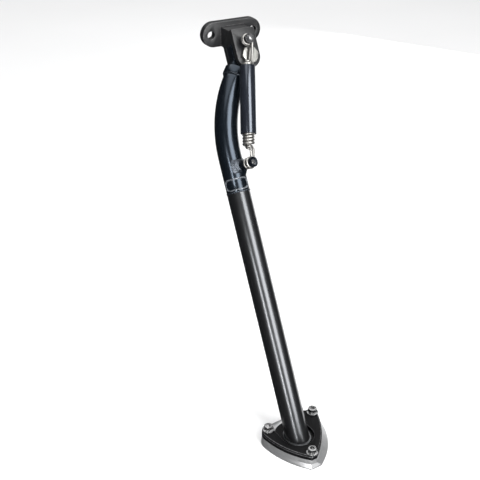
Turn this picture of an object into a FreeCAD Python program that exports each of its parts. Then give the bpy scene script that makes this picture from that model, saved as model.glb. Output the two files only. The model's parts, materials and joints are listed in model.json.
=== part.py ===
"""Side stand (kickstand) of an off-road motorcycle, with its bracket and springs.

Row frame: origin midway between the two bracket bolts, on the face that meets the
motorcycle's frame. X points to the rear, -Y outwards to the stand's side, Z up.
The leg is laid out in its own frame: origin on the pivot, x to the rear, y along
the pivot towards the motorcycle and z up along the straight lower tube.
"""
import FreeCAD, Part
import math
import os
from FreeCAD import Placement, Rotation, Vector

doc = FreeCAD.newDocument("SideStand")

# ---------------------------------------------------------------- driving sizes
SIZES = {
    # bracket: a forged fork on a plate, bolted to the motorcycle's frame
    "plate_length": 70, "plate_height": 27, "plate_thick": 8,
    "bolt_spacing": 50, "bolt_hole_dia": 8.5,
    "pivot_out": 34, "pivot_drop": 22,          # pivot from the bolt centre
    "fork_width": 27, "fork_wall": 7, "fork_arm": 30,
    "bridge_gap": 2, "web_inset": 8,             # over the tongue; web short of the pivot
    # pivot
    "leg_lean": 30,                              # degrees outwards from upright
    "tongue_thick": 12, "tongue_radius": 14,
    "washer_thick": 1, "washer_dia": 24,
    "pin_dia": 12, "bush_wall": 2, "bolt_head_flats": 17,
    "bolt_head_height": 5, "nut_height": 8, "pin_tail": 2,
    # leg
    "tube_dia": 25, "tube_wall": 2.5,
    "neck_length": 24, "neck_angle": 38,         # from the pivot to the bend
    "socket_length": 8, "socket_dia": 29, "neck_step": 1.5, "neck_overlap": 1,
    "bend_radius": 132, "joint_below_bend": 38, "leg_below_bend": 305.5,
    "inner_sleeve_length": 44, "weld_bead": 1.8,
    "joint_bead_sunk": 0.7, "joint_bead_share": 0.7,
    # oval pad on the outside of the joint
    "pad_height": 12.6, "pad_wrap": 130, "pad_proud": 0.9, "pad_above_joint": 8.2,
    "pad_turn": 24,
    # spring post on the leg
    "post_below_bend": 12, "post_turn": 20, "post_dia": 9.2, "post_groove_dia": 6.4,
    "post_head_dia": 10.6, "post_head": 3.4, "post_shank": 8.5, "post_groove": 8.2,
    "gusset_height": 6.6, "gusset_reach": 6.5, "gusset_foot": 1.8, "gusset_thick": 4.5,
    "gusset_sunk": 1.5, "post_sunk": 3,
    "post_weld_foot": 7.2, "post_weld_top": 0.2, "post_weld_height": 5.2,
    # upper spring post on the bracket, from the pivot
    "anchor_back": -3, "anchor_up": 14.5, "anchor_dia": 8.4, "anchor_groove": 9,
    "anchor_spigot": 4, "anchor_step": 1, "anchor_seat": 5,
    # springs and sleeve, lengths measured down from the upper post
    "outer_coil_dia": 13.4, "outer_wire": 2.8, "inner_coil_dia": 7.4, "inner_wire": 2.3,
    "coil_start": 24, "coil_stop": 17, "hook_play": 0.1,
    "hook_gap": 0.6, "hook_side": 0.4, "hook_into_coil": 0.7,
    "sleeve_dia": 16.8, "sleeve_wall": 1.5, "sleeve_start": 28, "sleeve_stop": 30.6,
    # foot: screw pattern, then margins round it
    "foot_turn": 148, "screw_tip": 31, "screw_back": 15.5, "screw_side": 33,
    "tube_off_u": -0.3, "tube_off_v": 5.4,
    "foot_plate_thick": 4, "foot_plate_margin": 6.2, "foot_seat": 2.8,
    "base_thick": 10, "base_band": 1.2, "base_crease": 5, "clamp_thick": 5.3, "seat_play": 0.2,
    "tip_margin": 7, "nose_margin": 5, "nose_half": 8.3, "corner_margin": 6.6,
    "heel_margin": 2.2, "back_margin": 5.5, "edge_margin": 10.5, "side_bulge": 5.2,
    "flare_tip": 0.6, "flare_side": 2.6, "flare_back": 7,
    "foot_bead": 2, "foot_bead_height": 2.2, "leg_slot_play": 0.9,
    "screw_dia": 6, "screw_hole_dia": 6.6, "screw_head_dia": 9, "screw_head": 5,
    "screw_length": 14, "screw_washer_dia": 12.4, "screw_washer": 1.2, "key_flats": 5,
    # clearances
    "running_play": 0.05, "side_play": 0.1, "stop_play": 0.1,
    "tool_reach": 100,                           # cutting tools run this far past a part
}

sheet = doc.addObject("Spreadsheet::Sheet", "Sizes")
for row, (name, value) in enumerate(SIZES.items(), start=1):
    sheet.set("A%d" % row, name)
    sheet.set("B%d" % row, str(value))
    sheet.setAlias("B%d" % row, name)
doc.recompute()


def size(name):
    return float(sheet.get(name))


# ---------------------------------------------------------------- frames
LEAN = size("leg_lean")
PIVOT = Vector(0, -size("pivot_out"), -size("pivot_drop"))
LEG = Placement(PIVOT, Rotation(Vector(1, 0, 0), -LEAN))
TURN_TO_Y = Rotation(Vector(1, 0, 0), -90)      # a primitive's own Z along +y


def leg_at(x=0, y=0, z=0, turn=Rotation()):
    """A place in the leg's frame, as a row placement."""
    return LEG.multiply(Placement(Vector(x, y, z), turn))


def pointing(direction):
    return Rotation(Vector(0, 0, 1), direction)


neck = math.radians(size("neck_angle"))
DOWN_NECK = Vector(-math.sin(neck), 0, -math.cos(neck))
BEND_TOP = DOWN_NECK * size("neck_length")
BEND_CENTRE = BEND_TOP + Vector(math.cos(neck), 0, -math.sin(neck)) * size("bend_radius")
BEND_FOOT = BEND_CENTRE - Vector(size("bend_radius"), 0, 0)
JOINT = BEND_FOOT - Vector(0, 0, size("joint_below_bend"))
LEG_END = BEND_FOOT - Vector(0, 0, size("leg_below_bend"))
FOOT_TOP = LEG.multVec(LEG_END)                 # where the tube's axis meets the foot plate

plate_under = size("base_thick") - size("foot_seat")
GROUND = FOOT_TOP.z - plate_under - size("foot_plate_thick")
FOOT_TURN = Rotation(Vector(0, 0, 1), size("foot_turn"))
foot_off = FOOT_TURN.multVec(Vector(size("tube_off_u"), size("tube_off_v"), 0))
FOOT = Placement(Vector(FOOT_TOP.x - foot_off.x, FOOT_TOP.y - foot_off.y, GROUND), FOOT_TURN)


def foot_at(u=0, v=0, z=0, turn=Rotation()):
    """A place in the foot's frame: u towards the tip, z up from the ground."""
    return FOOT.multiply(Placement(Vector(u, v, z), turn))


# ---------------------------------------------------------------- helpers
def primitive(kind, name, place, **sizes):
    """A Part primitive: a size is an expression of the sheet, or a length worked out here."""
    item = doc.addObject("Part::" + kind, name)
    for prop, value in sizes.items():
        if isinstance(value, str):
            item.setExpression(prop, value)
        else:
            setattr(item, prop, value)
    item.Placement = place
    return item


def rod(name, place, radius, length):
    return primitive("Cylinder", name, place, Radius=radius, Height=length)


def block(name, frame, length, width, height, corner):
    """A box bound to the sheet, with its low corner given in a frame."""
    return primitive("Box", name, frame.multiply(Placement(corner, Rotation())),
                     Length=length, Width=width, Height=height)


def hexagon(name, place, flats, length):
    item = doc.addObject("Part::Prism", name)
    item.Polygon = 6
    item.setExpression("Circumradius", flats + " / sqrt(3)")
    item.setExpression("Height", length)
    item.Placement = place
    return item


def fuse(name, items):
    item = doc.addObject("Part::MultiFuse", name)
    item.Shapes = items
    item.Refine = True
    return item


def common(name, items):
    item = doc.addObject("Part::MultiCommon", name)
    item.Shapes = items
    return item


def cut(name, base, tool):
    item = doc.addObject("Part::Cut", name)
    item.Base, item.Tool = base, tool
    item.Refine = True
    return item


def compound(name, items):
    item = doc.addObject("Part::Compound", name)
    item.Links = items
    return item


PARTS = []


def keep(item, node):
    item.Label = node
    PARTS.append(item)
    return item


# ---------------------------------------------------------------- bracket
SLOT_HALF = size("tongue_thick") / 2 + size("washer_thick") + size("side_play")
FORK_HALF = SLOT_HALF + size("fork_wall")
REACH = size("tool_reach")
slot_text = "(Sizes.tongue_thick + 2 * Sizes.washer_thick + 2 * Sizes.side_play)"
fork_text = "(%s + 2 * Sizes.fork_wall)" % slot_text


def make_bracket():
    half, tall, thick = size("plate_length") / 2, size("plate_height") / 2, size("plate_thick")
    plate = block("plate", Placement(), "Sizes.plate_length - Sizes.plate_height",
                  "Sizes.plate_thick", "Sizes.plate_height", Vector(tall - half, -thick, -tall))
    ends = [rod("plate_end", Placement(Vector(side * (half - tall), -thick, 0), TURN_TO_Y),
                "Sizes.plate_height / 2", "Sizes.plate_thick") for side in (-1, 1)]
    arm_half = size("fork_width") / 2
    arm = block("fork_arm", LEG, "Sizes.fork_width", fork_text, "Sizes.fork_arm",
                Vector(-arm_half, -FORK_HALF, 0))
    eye = rod("fork_eye", leg_at(y=-FORK_HALF, turn=TURN_TO_Y), "Sizes.fork_width / 2", fork_text)
    web_out = size("pivot_out") - size("web_inset")
    web = block("web", Placement(), "Sizes.fork_width", "Sizes.pivot_out - Sizes.web_inset",
                "Sizes.plate_height / 2 + Sizes.web_inset", Vector(-arm_half, -web_out, -tall))
    solid = fuse("bracket_solid", [plate, arm, eye, web] + ends)
    slot = block("fork_slot", LEG, "Sizes.plate_length", slot_text,
                 "Sizes.tool_reach + Sizes.tongue_radius + Sizes.bridge_gap",
                 Vector(-half, -SLOT_HALF, -REACH))
    holes = [rod("bolt_hole", Placement(Vector(side * size("bolt_spacing") / 2, -REACH / 2, 0),
                                        TURN_TO_Y), "Sizes.bolt_hole_dia / 2", "Sizes.tool_reach")
             for side in (-1, 1)]
    bore = rod("fork_bore", leg_at(y=-REACH / 2, turn=TURN_TO_Y), "Sizes.pin_dia / 2",
               "Sizes.tool_reach")
    post_seat = rod("post_seat", anchor_place(-FORK_HALF - size("anchor_step")),
                    "Sizes.anchor_dia / 2 - Sizes.anchor_step", "Sizes.anchor_seat")
    return cut("bracket_cut", solid, fuse("bracket_tools", [slot, bore, post_seat] + holes))


def anchor_place(y):
    """On the upper post's axis, looking inwards along the pivot."""
    return leg_at(size("anchor_back"), y, size("anchor_up"), TURN_TO_Y)


def make_anchor_post():
    """Post pressed into the outer ear: spigot, shank, groove for the hooks and head."""
    out = -FORK_HALF
    groove, head = size("anchor_groove"), size("post_head")
    shank = -HOOK_MIDDLE.y - FORK_HALF - groove / 2
    return fuse("anchor", [
        rod("anchor_spigot", anchor_place(out), "Sizes.anchor_dia / 2 - Sizes.anchor_step",
            "Sizes.anchor_spigot"),
        rod("anchor_shank_rod", anchor_place(out - shank), "Sizes.anchor_dia / 2", shank),
        rod("anchor_groove_rod", anchor_place(out - shank - groove),
            "Sizes.post_groove_dia / 2", "Sizes.anchor_groove"),
        rod("anchor_head", anchor_place(out - shank - groove - head),
            "Sizes.post_head_dia / 2", "Sizes.post_head")])


def make_pivot_bolt():
    """Shoulder bolt: hexagon head outside, plain shank through fork and tongue."""
    head = hexagon("bolt_head", leg_at(y=-FORK_HALF - size("bolt_head_height"), turn=TURN_TO_Y),
                   "Sizes.bolt_head_flats", "Sizes.bolt_head_height")
    shank = rod("bolt_shank", leg_at(y=-FORK_HALF, turn=TURN_TO_Y),
                "Sizes.pin_dia / 2 - Sizes.running_play",
                fork_text + " + Sizes.nut_height + Sizes.pin_tail")
    return fuse("bolt", [head, shank])


def make_pivot_nut():
    place = leg_at(y=FORK_HALF, turn=TURN_TO_Y)
    return cut("nut", hexagon("nut_body", place, "Sizes.bolt_head_flats", "Sizes.nut_height"),
               rod("nut_bore", place, "Sizes.pin_dia / 2 - Sizes.running_play",
                   "Sizes.nut_height"))


# ---------------------------------------------------------------- leg head
def ring(name, place, outer, inner, length):
    return cut(name, rod(name + "_outer", place, outer, length),
               rod(name + "_inner", place, inner, length))


def make_leg_head():
    """Forged tongue with a stop heel, and a round socket that the tube butts against."""
    thick = size("tongue_thick")
    flat = leg_at(y=-thick / 2, turn=TURN_TO_Y)
    eye = rod("tongue_eye", flat, "Sizes.tongue_radius", "Sizes.tongue_thick")
    heel = block("stop_heel", LEG, "Sizes.tongue_radius", "Sizes.tongue_thick",
                 "Sizes.tongue_radius + Sizes.bridge_gap - Sizes.stop_play",
                 Vector(-size("tongue_radius"), -thick / 2, 0))
    neck_turn = pointing(DOWN_NECK)
    half = size("tube_dia") / 2 - size("neck_step")
    shank = primitive("Box", "tongue_shank",
                      LEG.multiply(Placement(Vector(), neck_turn)).multiply(
                          Placement(Vector(-half, -thick / 2, 0), Rotation())),
                      Length="Sizes.tube_dia - 2 * Sizes.neck_step", Width="Sizes.tongue_thick",
                      Height="Sizes.neck_length - Sizes.socket_length + Sizes.neck_overlap")
    start = DOWN_NECK * (size("neck_length") - size("socket_length"))
    socket = rod("socket", leg_at(start.x, 0, start.z, neck_turn), "Sizes.socket_dia / 2",
                 "Sizes.socket_length")
    bore = rod("tongue_bore", flat, "Sizes.pin_dia / 2 + Sizes.bush_wall", "Sizes.tongue_thick")
    return cut("head", fuse("head_solid", [eye, heel, shank, socket]), bore)


def make_bush():
    return ring("bush", leg_at(y=-size("tongue_thick") / 2, turn=TURN_TO_Y),
                "Sizes.pin_dia / 2 + Sizes.bush_wall", "Sizes.pin_dia / 2",
                "Sizes.tongue_thick")


def make_thrust_washers():
    half = size("tongue_thick") / 2
    places = (("inner_washer", half), ("outer_washer", -half - size("washer_thick")))
    return compound("washers", [
        ring(name, leg_at(y=y, turn=TURN_TO_Y), "Sizes.washer_dia / 2",
             "Sizes.pin_dia / 2 + Sizes.side_play", "Sizes.washer_thick")
        for name, y in places])


# ---------------------------------------------------------------- tubes
def bend_part(name, radius):
    """The bend as a piece of a torus, from its foot up to the neck."""
    item = primitive("Torus", name, Placement(), Radius1="Sizes.bend_radius", Radius2=radius,
                     Angle3="Sizes.neck_angle")
    item.Angle1, item.Angle2 = -180, 180
    flip = Rotation(Vector(-1, 0, 0), Vector(0, 0, 1), Vector(0, 1, 0), "XYZ")
    item.Placement = leg_at(BEND_CENTRE.x, 0, BEND_CENTRE.z, flip)
    return item


def tube_run(name, radius, top, length, text=None):
    """A straight run down from top; text binds its length to the sheet."""
    return rod(name, leg_at(top.x, 0, top.z - length), radius, text or length)


def make_upper_tube():
    length = size("joint_below_bend")
    outer = fuse("upper_outer", [
        bend_part("bend_outer", "Sizes.tube_dia / 2"),
        tube_run("run_outer", "Sizes.tube_dia / 2", BEND_FOOT, length,
                 "Sizes.joint_below_bend")])
    inner = fuse("upper_inner", [
        bend_part("bend_inner", "Sizes.tube_dia / 2 - Sizes.tube_wall"),
        tube_run("run_inner", "Sizes.tube_dia / 2 - Sizes.tube_wall", BEND_FOOT, length,
                 "Sizes.joint_below_bend")])
    return cut("upper", outer, inner)


def under_foot_plate():
    """All space below the foot plate's upper face."""
    corner = FOOT_TOP - Vector(REACH / 2, REACH / 2, REACH)
    return block("below_foot", Placement(), "Sizes.tool_reach", "Sizes.tool_reach",
                 "Sizes.tool_reach", corner)


def make_lower_tube():
    length = size("leg_below_bend") - size("joint_below_bend")
    spare = size("tube_dia")
    text = "Sizes.leg_below_bend - Sizes.joint_below_bend + Sizes.tube_dia"
    outer = tube_run("lower_outer", "Sizes.tube_dia / 2", JOINT, length + spare, text)
    inner = tube_run("lower_inner", "Sizes.tube_dia / 2 - Sizes.tube_wall", JOINT,
                     length + spare, text)
    return cut("lower", cut("lower_pipe", outer, inner), under_foot_plate())


def make_inner_sleeve():
    """Spigot inside both tubes, across their butt joint."""
    length = size("inner_sleeve_length")
    top = JOINT + Vector(0, 0, length / 2)
    outer = tube_run("spigot_outer", "Sizes.tube_dia / 2 - Sizes.tube_wall", top, length,
                     "Sizes.inner_sleeve_length")
    inner = tube_run("spigot_inner", "Sizes.tube_dia / 2 - 2 * Sizes.tube_wall", top, length,
                     "Sizes.inner_sleeve_length")
    return cut("spigot", outer, inner)


# ---------------------------------------------------------------- welds and pad
TUBE_R = size("tube_dia") / 2


def make_head_weld():
    place = leg_at(BEND_TOP.x, 0, BEND_TOP.z, pointing(DOWN_NECK))
    ring_bead = primitive("Torus", "head_bead", place, Radius1="Sizes.tube_dia / 2",
                          Radius2="Sizes.weld_bead")
    start = DOWN_NECK * (size("neck_length") - size("socket_length"))
    socket = rod("head_keep_out", leg_at(start.x, 0, start.z, pointing(DOWN_NECK)),
                 "Sizes.socket_dia / 2", "Sizes.socket_length")
    tube = bend_part("bend_keep_out", "Sizes.tube_dia / 2")
    return cut("head_weld_cut", ring_bead, fuse("head_weld_tools", [socket, tube]))


def make_joint_weld():
    """The low bead where the tubes meet."""
    place = leg_at(JOINT.x, 0, JOINT.z)
    ring_bead = primitive("Torus", "joint_bead", place,
                          Radius1="Sizes.tube_dia / 2 - Sizes.joint_bead_sunk",
                          Radius2="Sizes.weld_bead * Sizes.joint_bead_share")
    tube = tube_run("joint_keep_out", "Sizes.tube_dia / 2", JOINT + Vector(0, 0, TUBE_R),
                    2 * TUBE_R, "Sizes.tube_dia")
    return cut("joint_weld_cut", ring_bead, tube)


def make_foot_weld():
    top = JOINT
    length = size("leg_below_bend") - size("joint_below_bend") + size("tube_dia")
    text = "Sizes.leg_below_bend - Sizes.joint_below_bend + Sizes.tube_dia"
    outer = tube_run("foot_bead_outer", "Sizes.tube_dia / 2 + Sizes.foot_bead", top, length, text)
    inner = tube_run("foot_bead_inner", "Sizes.tube_dia / 2", top, length, text)
    slab = block("foot_bead_slab", Placement(), "Sizes.tool_reach", "Sizes.tool_reach",
                 "Sizes.foot_bead_height", FOOT_TOP - Vector(REACH / 2, REACH / 2, 0))
    return cut("foot_weld_cut", common("foot_bead_band", [outer, slab]), inner)


def make_oval_pad():
    """Oval pad that wraps the tube's outside just above the joint."""
    middle = JOINT + Vector(0, 0, size("pad_above_joint"))
    height = size("pad_height")
    around = math.radians(size("pad_wrap") / 2)
    half = TUBE_R * math.sin(around) - height / 2
    facing = Rotation(Vector(0, 0, 1), -size("pad_turn")).multiply(Rotation(Vector(1, 0, 0), 90))
    frame = leg_at(middle.x, 0, middle.z, facing)
    ends = [primitive("Cylinder", "pad_end", frame.multiply(Placement(
        Vector(side * half, 0, 0), Rotation())), Radius="Sizes.pad_height / 2",
        Height="Sizes.tube_dia") for side in (-1, 1)]
    bar = block("pad_bar", frame, 2 * half, "Sizes.pad_height", "Sizes.tube_dia",
                Vector(-half, -height / 2, 0))
    shell = ring("pad_shell", leg_at(middle.x, 0, middle.z - height),
                 "Sizes.tube_dia / 2 + Sizes.pad_proud", "Sizes.tube_dia / 2",
                 "2 * Sizes.pad_height")
    return common("pad_common", [fuse("pad_outline", ends + [bar]), shell])


# ---------------------------------------------------------------- lower spring post
post_turn = math.radians(size("post_turn"))
POST_OUT = Vector(math.sin(post_turn), -math.cos(post_turn), 0)
POST_ROOT = BEND_FOOT - Vector(0, 0, size("post_below_bend"))
POST_TURN = pointing(POST_OUT)


def post_place(distance):
    point = POST_ROOT + POST_OUT * distance
    return leg_at(point.x, point.y, point.z, POST_TURN)


def post_tube_tool(name):
    return tube_run(name, "Sizes.tube_dia / 2", BEND_FOOT, REACH, "Sizes.tool_reach")


def weld_lump(name):
    """The cone that the post's weld and the space for it are cut from."""
    return primitive("Cone", name, post_place(TUBE_R - size("post_sunk")),
                     Radius1="Sizes.post_dia / 2 + Sizes.post_weld_foot",
                     Radius2="Sizes.post_dia / 2 + Sizes.post_weld_top",
                     Height="Sizes.post_weld_height")


def make_spring_post():
    shank, groove, sunk = size("post_shank"), size("post_groove"), size("post_sunk")
    solid = fuse("post_solid", [
        rod("post_shank_rod", post_place(TUBE_R - sunk), "Sizes.post_dia / 2",
            "Sizes.post_shank + Sizes.post_sunk"),
        rod("post_groove_rod", post_place(TUBE_R + shank), "Sizes.post_groove_dia / 2",
            "Sizes.post_groove"),
        rod("post_head_rod", post_place(TUBE_R + shank + groove), "Sizes.post_head_dia / 2",
            "Sizes.post_head")])
    return cut("post_cut", solid, post_tube_tool("post_keep_out"))


def make_post_weld():
    post = rod("weld_post_keep_out", post_place(0), "Sizes.post_dia / 2", "Sizes.tool_reach")
    return cut("post_weld_cut", weld_lump("post_fillet"),
               fuse("post_weld_tools", [post_tube_tool("weld_keep_out"), post]))


def make_gusset():
    """Small rib under the post: a PartDesign body, a triangle padded both ways."""
    body = doc.addObject("PartDesign::Body", "gusset_body")
    profile = body.newObject("Sketcher::SketchObject", "gusset_profile")
    plane = [f for f in body.Origin.OriginFeatures if f.Role == "XZ_Plane"][0]
    profile.AttachmentSupport = [(plane, "")]
    profile.MapMode = "FlatFace"
    under = -size("post_dia") / 2
    foot = under - size("gusset_height")
    inside = size("gusset_sunk")                 # sunk in, then cut to the tube's surface
    points = [Vector(-inside, under, 0), Vector(size("gusset_reach"), under, 0),
              Vector(size("gusset_foot"), foot, 0), Vector(-inside, foot, 0)]
    for start, end in zip(points, points[1:] + points[:1]):
        profile.addGeometry(Part.LineSegment(start, end), False)
    pad = body.newObject("PartDesign::Pad", "gusset_pad")
    pad.Profile = profile
    pad.Midplane = True
    pad.setExpression("Length", "Sizes.gusset_thick")
    body.Tip = pad
    around = Rotation(Vector(0, 0, 1), size("post_turn") - 90)
    out = POST_ROOT + POST_OUT * TUBE_R
    body.Placement = leg_at(out.x, out.y, out.z, around)
    post = rod("gusset_post_out", post_place(0), "Sizes.post_dia / 2", "Sizes.tool_reach")
    return cut("gusset_cut", body, fuse("gusset_tools", [
        post_tube_tool("gusset_keep_out"), post, weld_lump("gusset_weld_out")]))


# ---------------------------------------------------------------- springs
RING_R = size("post_groove_dia") / 2 + size("hook_play")
HOOK_MIDDLE = POST_ROOT + POST_OUT * (TUBE_R + size("post_shank") + size("post_groove") / 2)
ANCHOR = Vector(size("anchor_back"), HOOK_MIDDLE.y, size("anchor_up"))
SPRING_LENGTH = HOOK_MIDDLE.sub(ANCHOR).Length
SPRING_DOWN = HOOK_MIDDLE.sub(ANCHOR).normalize()


def spring_at(down):
    point = ANCHOR + SPRING_DOWN * down
    return leg_at(point.x, point.y, point.z, pointing(SPRING_DOWN))


def hook(name, centre, normal, wire, coil_point, side):
    """An eye round a post and the straight wire from it to the coil."""
    radius = RING_R + wire / 2
    side = (side - normal * side.dot(normal)).normalize()
    eye = primitive("Torus", name + "_eye", leg_at(centre.x, centre.y, centre.z, pointing(normal)),
                    Radius1=radius, Radius2=wire / 2)
    start = centre + side * radius
    reach = coil_point.sub(start)
    return [eye, rod(name + "_leg", leg_at(start.x, start.y, start.z, pointing(reach)), wire / 2,
                     reach.Length)]


def make_spring(name, dia_text, wire_text, dia, wire, upper_y, lower_out, longer):
    """Closed coil as a tube of its outer shape, with an eye at each end."""
    start = size("coil_start") - longer
    stop = SPRING_LENGTH - size("coil_stop") + longer
    coil = ring(name + "_coil", spring_at(start), dia_text + " / 2",
                dia_text + " / 2 - " + wire_text, stop - start)
    back = SPRING_DOWN.cross(Vector(0, 1, 0)).normalize()
    if back.x < 0:
        back = back * -1
    mean = dia / 2 - wire / 2
    top = Vector(size("anchor_back"), upper_y, size("anchor_up"))
    low = POST_ROOT + POST_OUT * lower_out
    into = wire * size("hook_into_coil")
    upper = hook(name + "_upper", top, Vector(0, 1, 0), wire,
                 ANCHOR + SPRING_DOWN * (start + into) + back * mean, back)
    lower = hook(name + "_lower", low, POST_OUT, wire,
                 ANCHOR + SPRING_DOWN * (stop - into) + back * mean, back)
    return fuse(name + "_solid", [coil] + upper + lower)


def make_springs():
    groove = TUBE_R + size("post_shank")
    gap = size("hook_gap")
    outer_wire, inner_wire = size("outer_wire"), size("inner_wire")
    first = groove + gap + inner_wire / 2
    second = groove + size("post_groove") - gap - outer_wire / 2
    near = ANCHOR.y + (inner_wire / 2 + size("hook_side"))
    far = ANCHOR.y - (outer_wire / 2 + size("hook_side"))
    outer = make_spring("outer", "Sizes.outer_coil_dia", "Sizes.outer_wire",
                        size("outer_coil_dia"), outer_wire, far, second, 0)
    inner = make_spring("inner", "Sizes.inner_coil_dia", "Sizes.inner_wire",
                        size("inner_coil_dia"), inner_wire, near, first,
                        outer_wire)
    return outer, inner


def make_sleeve():
    start, stop = size("sleeve_start"), SPRING_LENGTH - size("sleeve_stop")
    return ring("sleeve", spring_at(start), "Sizes.sleeve_dia / 2",
                "Sizes.sleeve_dia / 2 - Sizes.sleeve_wall", stop - start)


# ---------------------------------------------------------------- foot
SCREWS = [(size("screw_tip"), 0), (-size("screw_back"), size("screw_side")),
          (-size("screw_back"), -size("screw_side"))]


def outline(flare_tip=0, flare_side=0, flare_back=0):
    """Rounded triangle round the screws: nose, bulged sides, cut corners, bulged back."""
    tip, back, side = size("screw_tip"), size("screw_back"), size("screw_side")
    nose = Vector(tip + size("nose_margin") + flare_tip / 2, size("nose_half") + flare_side / 4, 0)
    point = Vector(tip + size("tip_margin") + flare_tip, 0, 0)
    corner = Vector(-back, side + size("corner_margin") + flare_side, 0)
    heel = Vector(-back - size("back_margin") - flare_back * 0.7,
                  side + size("heel_margin") - flare_side * 0.3, 0)
    edge = Vector(-back - size("edge_margin") - flare_back, 0, 0)
    along = corner.sub(nose).normalize()
    middle = (nose + corner) * 0.5 + Vector(along.y, -along.x, 0) * size("side_bulge")
    other = [Vector(p.x, -p.y, 0) for p in (nose, middle, corner, heel)]
    return [Part.Arc(other[0], point, nose), Part.Arc(nose, middle, corner),
            Part.LineSegment(corner, heel), Part.Arc(heel, edge, other[3]),
            Part.LineSegment(other[3], other[2]), Part.Arc(other[2], other[1], other[0])]


def sketch(body, name, height, curves):
    item = body.newObject("Sketcher::SketchObject", name)
    plane = [f for f in body.Origin.OriginFeatures if f.Role == "XY_Plane"][0]
    item.AttachmentSupport = [(plane, "")]
    item.MapMode = "FlatFace"
    item.AttachmentOffset = Placement(Vector(0, 0, height), Rotation())
    for curve in curves:
        item.addGeometry(curve, False)
    return item


def circle(u, v, radius):
    return Part.Circle(Vector(u, v, 0), Vector(0, 0, 1), radius)


def pocket(body, name, profile, expression):
    """A pocket down from its sketch; stops if it takes nothing away."""
    before = body.Shape.Volume
    item = body.newObject("PartDesign::Pocket", name)
    item.Profile = profile
    item.setExpression("Length", expression)
    body.Tip = item
    doc.recompute()
    if body.Shape.Volume > before - 1:
        item.Reversed = True
        doc.recompute()
    if body.Shape.Volume > before - 1:
        raise RuntimeError("%s cuts nothing" % name)
    return item


def make_foot_base():
    """Machined base: straight bands at the ground and on top, flared between, with a seat."""
    body = doc.addObject("PartDesign::Body", "base_body")
    flare = (size("flare_tip"), size("flare_side"), size("flare_back"))
    low = sketch(body, "base_low", 0, outline(*flare))
    band = body.newObject("PartDesign::Pad", "base_band")
    band.Profile = low
    band.setExpression("Length", "Sizes.base_band")
    flank_low = sketch(body, "flank_low", size("base_band"), outline(*flare))
    flank_top = sketch(body, "flank_top", size("base_crease"), outline())
    flank = body.newObject("PartDesign::AdditiveLoft", "base_flank")
    flank.Profile = flank_low
    flank.Sections = [flank_top]
    flank.Ruled = True
    upper = body.newObject("PartDesign::Pad", "base_upper_band")
    upper.Profile = sketch(body, "base_upper", size("base_crease"), outline())
    upper.setExpression("Length", "Sizes.base_thick - Sizes.base_crease")
    body.Tip = upper
    doc.recompute()
    seat_radius = size("screw_tip") - size("foot_plate_margin") + size("seat_play")
    seat = sketch(body, "base_seat", size("base_thick"), [circle(0, 0, seat_radius)])
    pocket(body, "base_seat_cut", seat, "Sizes.foot_seat")
    holes = sketch(body, "base_holes", size("base_thick"),
                   [circle(u, v, size("screw_dia") / 2) for u, v in SCREWS])
    pocket(body, "base_hole_cut", holes, "Sizes.base_thick")
    body.Placement = foot_at()
    return body


def make_foot_clamp():
    """Clamp plate: the base's upper outline, open round the leg towards one side."""
    body = doc.addObject("PartDesign::Body", "clamp_body")
    blank = sketch(body, "clamp_blank", 0, outline())
    pad = body.newObject("PartDesign::Pad", "clamp_pad")
    pad.Profile = blank
    pad.setExpression("Length", "Sizes.clamp_thick")
    body.Tip = pad
    doc.recompute()
    top = size("clamp_thick")
    widest = (size("tube_dia") / 2 + size("foot_bead")) / math.cos(math.radians(LEAN))
    radius = widest + size("leg_slot_play")
    to_side = Vector(size("screw_side"), -(size("screw_tip") + size("screw_back")), 0).normalize()
    across = Vector(-to_side.y, to_side.x, 0)
    middle = Vector(size("tube_off_u"), size("tube_off_v"), 0)
    far = to_side * (size("screw_tip") + size("screw_side"))
    near_one, near_two = middle + across * radius, middle - across * radius
    slot = sketch(body, "clamp_slot", top, [
        Part.Arc(near_one, middle - to_side * radius, near_two),
        Part.LineSegment(near_two, near_two + far),
        Part.LineSegment(near_two + far, near_one + far),
        Part.LineSegment(near_one + far, near_one)])
    pocket(body, "clamp_slot_cut", slot, "Sizes.clamp_thick")
    holes = sketch(body, "clamp_holes", top,
                   [circle(u, v, size("screw_hole_dia") / 2) for u, v in SCREWS])
    pocket(body, "clamp_hole_cut", holes, "Sizes.clamp_thick")
    body.Placement = foot_at(z=size("base_thick"))
    # the underside is relieved over the foot plate
    seat_text = "Sizes.screw_tip - Sizes.foot_plate_margin + Sizes.seat_play"
    relief = rod("clamp_relief", foot_at(z=size("base_thick") - 1), seat_text,
                 "Sizes.foot_plate_thick - Sizes.foot_seat + 1")
    return cut("clamp_cut", body, relief)


def make_foot_plate():
    """Stamped disc welded to the tube, held between base and clamp."""
    return rod("foot_disc", foot_at(z=plate_under), "Sizes.screw_tip - Sizes.foot_plate_margin",
               "Sizes.foot_plate_thick")


CLAMP_TOP = size("base_thick") + size("clamp_thick")


def make_foot_screws():
    """Socket-head screws: shank, head and hexagon socket."""
    screws = []
    for index, (u, v) in enumerate(SCREWS, start=1):
        seat = CLAMP_TOP + size("screw_washer")
        shank = rod("screw_shank%d" % index, foot_at(u, v, seat - size("screw_length")),
                    "Sizes.screw_dia / 2", "Sizes.screw_length")
        head = rod("screw_head%d" % index, foot_at(u, v, seat), "Sizes.screw_head_dia / 2",
                   "Sizes.screw_head")
        key_depth = size("screw_head") * 0.55
        key = hexagon("screw_key%d" % index,
                      foot_at(u, v, seat + size("screw_head") - key_depth),
                      "Sizes.key_flats", "Sizes.screw_head")
        screws.append(cut("screw%d" % index, fuse("screw_solid%d" % index, [shank, head]), key))
    return compound("screws", screws)


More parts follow.
